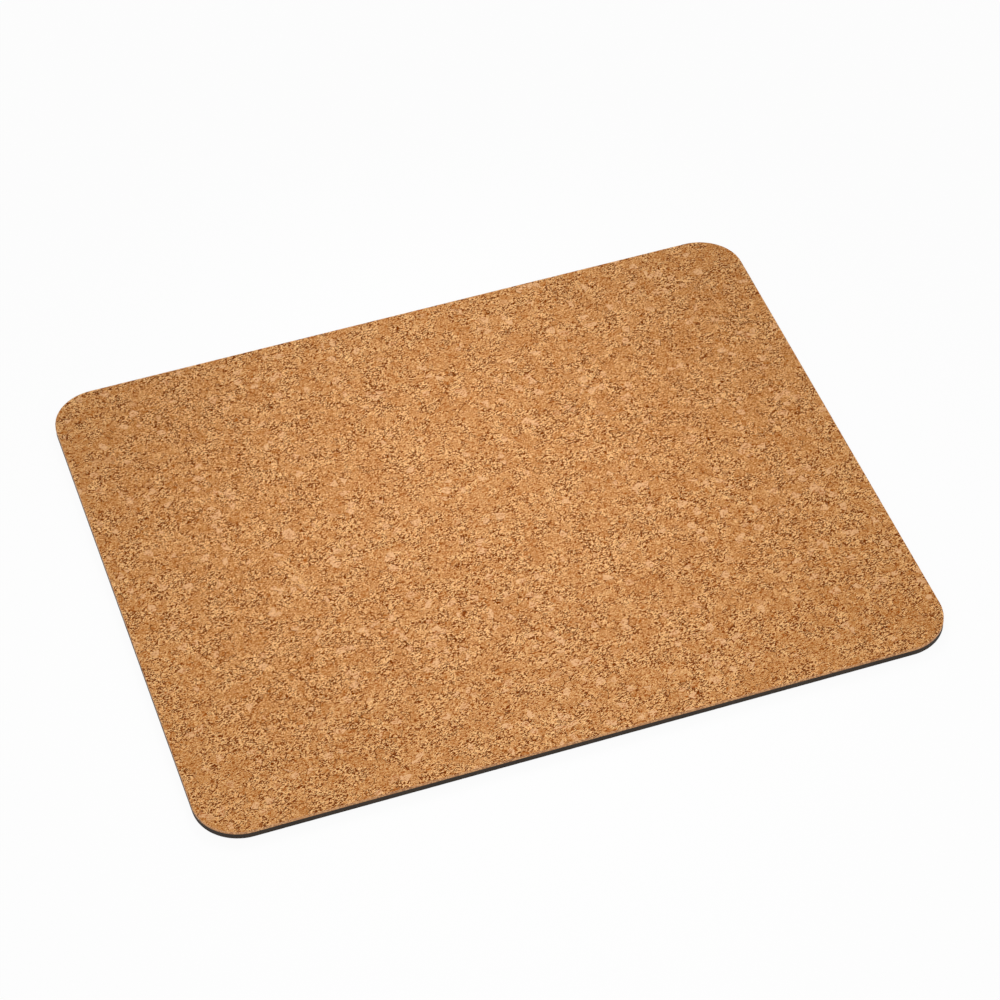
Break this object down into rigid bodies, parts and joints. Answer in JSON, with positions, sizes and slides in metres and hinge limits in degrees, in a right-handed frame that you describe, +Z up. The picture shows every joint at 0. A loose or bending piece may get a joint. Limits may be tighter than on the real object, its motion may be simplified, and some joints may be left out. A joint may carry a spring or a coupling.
{
  "type": "mouse pad",
  "caption": "Flat rectangular mouse pad with rounded corners: a pressed-cork top sheet bonded to a black foam-rubber base.",
  "frame": {"origin": "centre of the underside, on the surface that the pad lies on", "axes": "+X along the length, +Y along the width away from the user, +Z up out of the cork face"},
  "size_m": [0.24, 0.2, 0.003],
  "materials": {
    "foam_rubber": "matt charcoal closed-cell foam rubber, finely pored where it is cut, embossed on the underside",
    "adhesive": "thin amber bonding film, seen only as a hairline at the cut edge",
    "cork": "sanded agglomerated cork: tan granules with dark brown crevices, unsealed and matt"
  },
  "bodies": {
    "root": {"rubber_base": "foam_rubber", "adhesive_film": "adhesive", "cork_sheet": "cork"}
  },
  "joints": []
}
